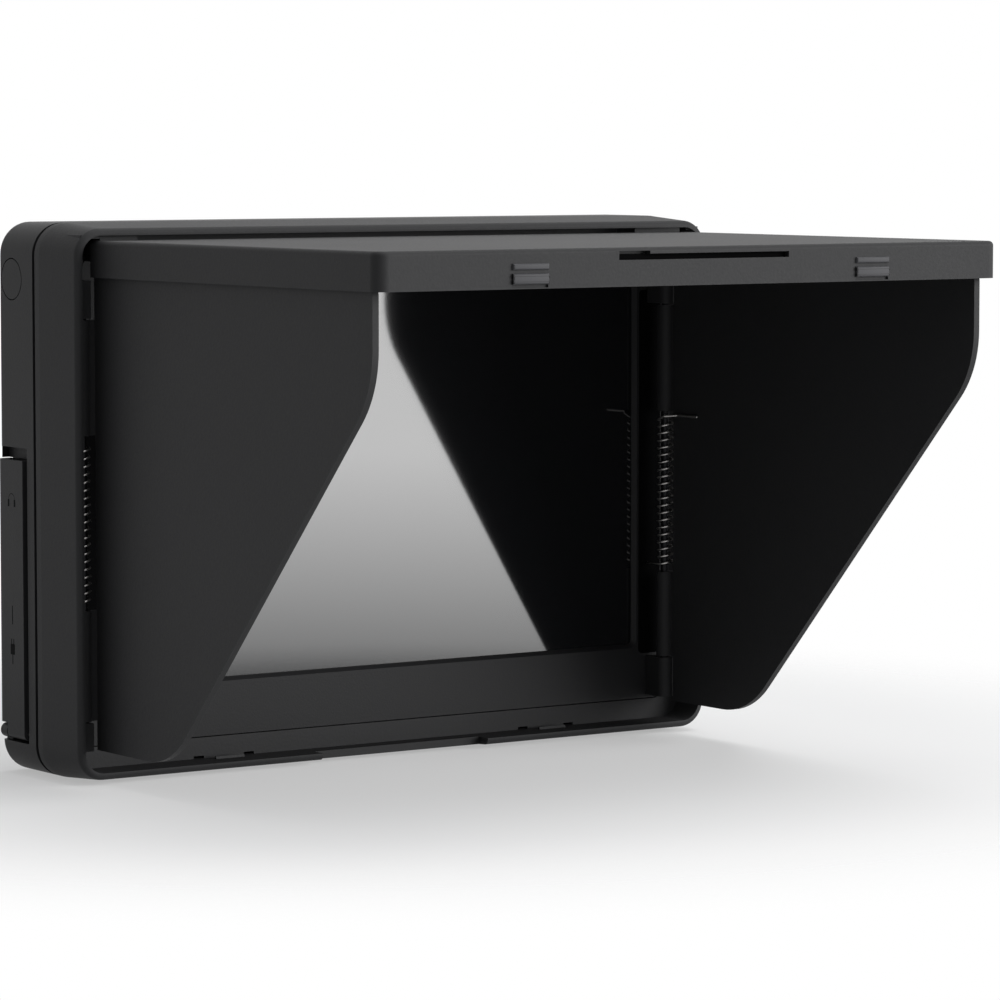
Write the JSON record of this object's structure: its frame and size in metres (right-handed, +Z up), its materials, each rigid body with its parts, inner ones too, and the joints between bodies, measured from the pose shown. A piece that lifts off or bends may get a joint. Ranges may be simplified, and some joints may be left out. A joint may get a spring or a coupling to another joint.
{
  "type": "camera field monitor with sun hood",
  "caption": "Camera-top field monitor with a flat screen and a folding sun hood: a hinged lid over two sprung side wings, a battery plate behind and a tripod thread beneath.",
  "frame": {"origin": "centre of the tripod thread's mouth, in the plane of the underside that the monitor stands on", "axes": "+X towards the viewer's right when looking at the screen, -Y out of the screen towards the viewer, +Z up"},
  "size_m": [0.1413, 0.1185, 0.0992],
  "materials": {
    "hood_plastic": "fine matte texture",
    "case_plastic": "fine matte texture",
    "door_plastic": "matte",
    "key_plastic": "satin",
    "steel": "plain drawn steel",
    "brass": "turned",
    "screen_glass": "polished",
    "lcd_glass": "gloss",
    "light_plastic": "white film",
    "ribbon_film": "amber film",
    "board": "solder mask",
    "chip_plastic": "moulded"
  },
  "bodies": {
    "monitor": {"hood_frame": "hood_plastic", "lid_pins": "steel", "left_shaft": "steel", "right_shaft": "steel", "left_spring": "steel", "right_spring": "steel", "front_bezel": "case_plastic", "screen_glass": "screen_glass", "lcd_panel": "lcd_glass", "backlight": "light_plastic", "panel_tray": "steel", "board_screws": "steel", "panel_ribbon": "ribbon_film", "main_board": "board", "board_chips": "chip_plastic", "rear_cover": "case_plastic", "case_screws": "steel", "tripod_bush": "brass", "side_cap": "case_plastic", "door_pin": "steel", "socket_board": "board", "hdmi_socket": "steel", "phone_socket": "chip_plastic", "power_socket": "chip_plastic", "key_board": "board", "dial_spindle": "steel", "slide_switch": "chip_plastic", "battery_plate": "case_plastic", "battery_contacts": "brass", "release_spring": "steel", "speaker": "steel"},
    "lid": {"hood_lid": "hood_plastic"},
    "left_flap": {"left_wing": "hood_plastic"},
    "right_flap": {"right_wing": "hood_plastic"},
    "door": {"connector_door": "door_plastic"},
    "dial": {"control_dial": "key_plastic"},
    "menu_key": {"menu_button": "key_plastic"},
    "peaking_key": {"peaking_button": "key_plastic"},
    "input_key": {"input_button": "key_plastic"},
    "power_knob": {"power_slider": "key_plastic"},
    "release_key": {"battery_release": "key_plastic"}
  },
  "joints": [
    {"name": "lid_lift", "type": "hinge", "parent": "monitor", "child": "lid", "pos_m": [0, -0.01935, 0.094], "axis": [-1, 0, 0], "range_deg": [0, 20]},
    {"name": "left_flap_fold", "type": "hinge", "parent": "monitor", "child": "left_flap", "pos_m": [-0.06615, -0.0175, 0.0475], "axis": [0, 0, 1], "range_deg": [0, 90], "stiffness_Nm_per_rad": 0.002, "springref_deg": -28.65, "deforming": ["left_spring"]},
    {"name": "right_flap_fold", "type": "hinge", "parent": "monitor", "child": "right_flap", "pos_m": [0.0618, -0.0173, 0.0475], "axis": [0, 0, -1], "range_deg": [0, 90], "stiffness_Nm_per_rad": 0.002, "springref_deg": -28.65, "deforming": ["right_spring"]},
    {"name": "door_swing", "type": "hinge", "parent": "monitor", "child": "door", "pos_m": [-0.06895, 0.0015, 0.00745], "axis": [0, -1, 0], "range_deg": [0, 90]},
    {"name": "dial_turn", "type": "hinge", "parent": "monitor", "child": "dial", "pos_m": [0.06415, 0.0009, 0.05085], "axis": [0, 1, 0], "continuous": true},
    {"name": "menu_press", "type": "slide", "parent": "monitor", "child": "menu_key", "axis": [-1, 0, 0], "range_m": [0, 0.0006], "stiffness_N_per_m": 500, "springref_m": -0.001},
    {"name": "peaking_press", "type": "slide", "parent": "monitor", "child": "peaking_key", "axis": [-1, 0, 0], "range_m": [0, 0.0006], "stiffness_N_per_m": 500, "springref_m": -0.001},
    {"name": "input_press", "type": "slide", "parent": "monitor", "child": "input_key", "axis": [-1, 0, 0], "range_m": [0, 0.0006], "stiffness_N_per_m": 500, "springref_m": -0.001},
    {"name": "power_slide", "type": "slide", "parent": "monitor", "child": "power_knob", "axis": [0, 0, 1], "range_m": [0, 0.004]},
    {"name": "release_press", "type": "slide", "parent": "monitor", "child": "release_key", "axis": [0, -1, 0], "range_m": [0, 0.0015], "stiffness_N_per_m": 400, "springref_m": -0.001, "deforming": ["release_spring"]}
  ]
}
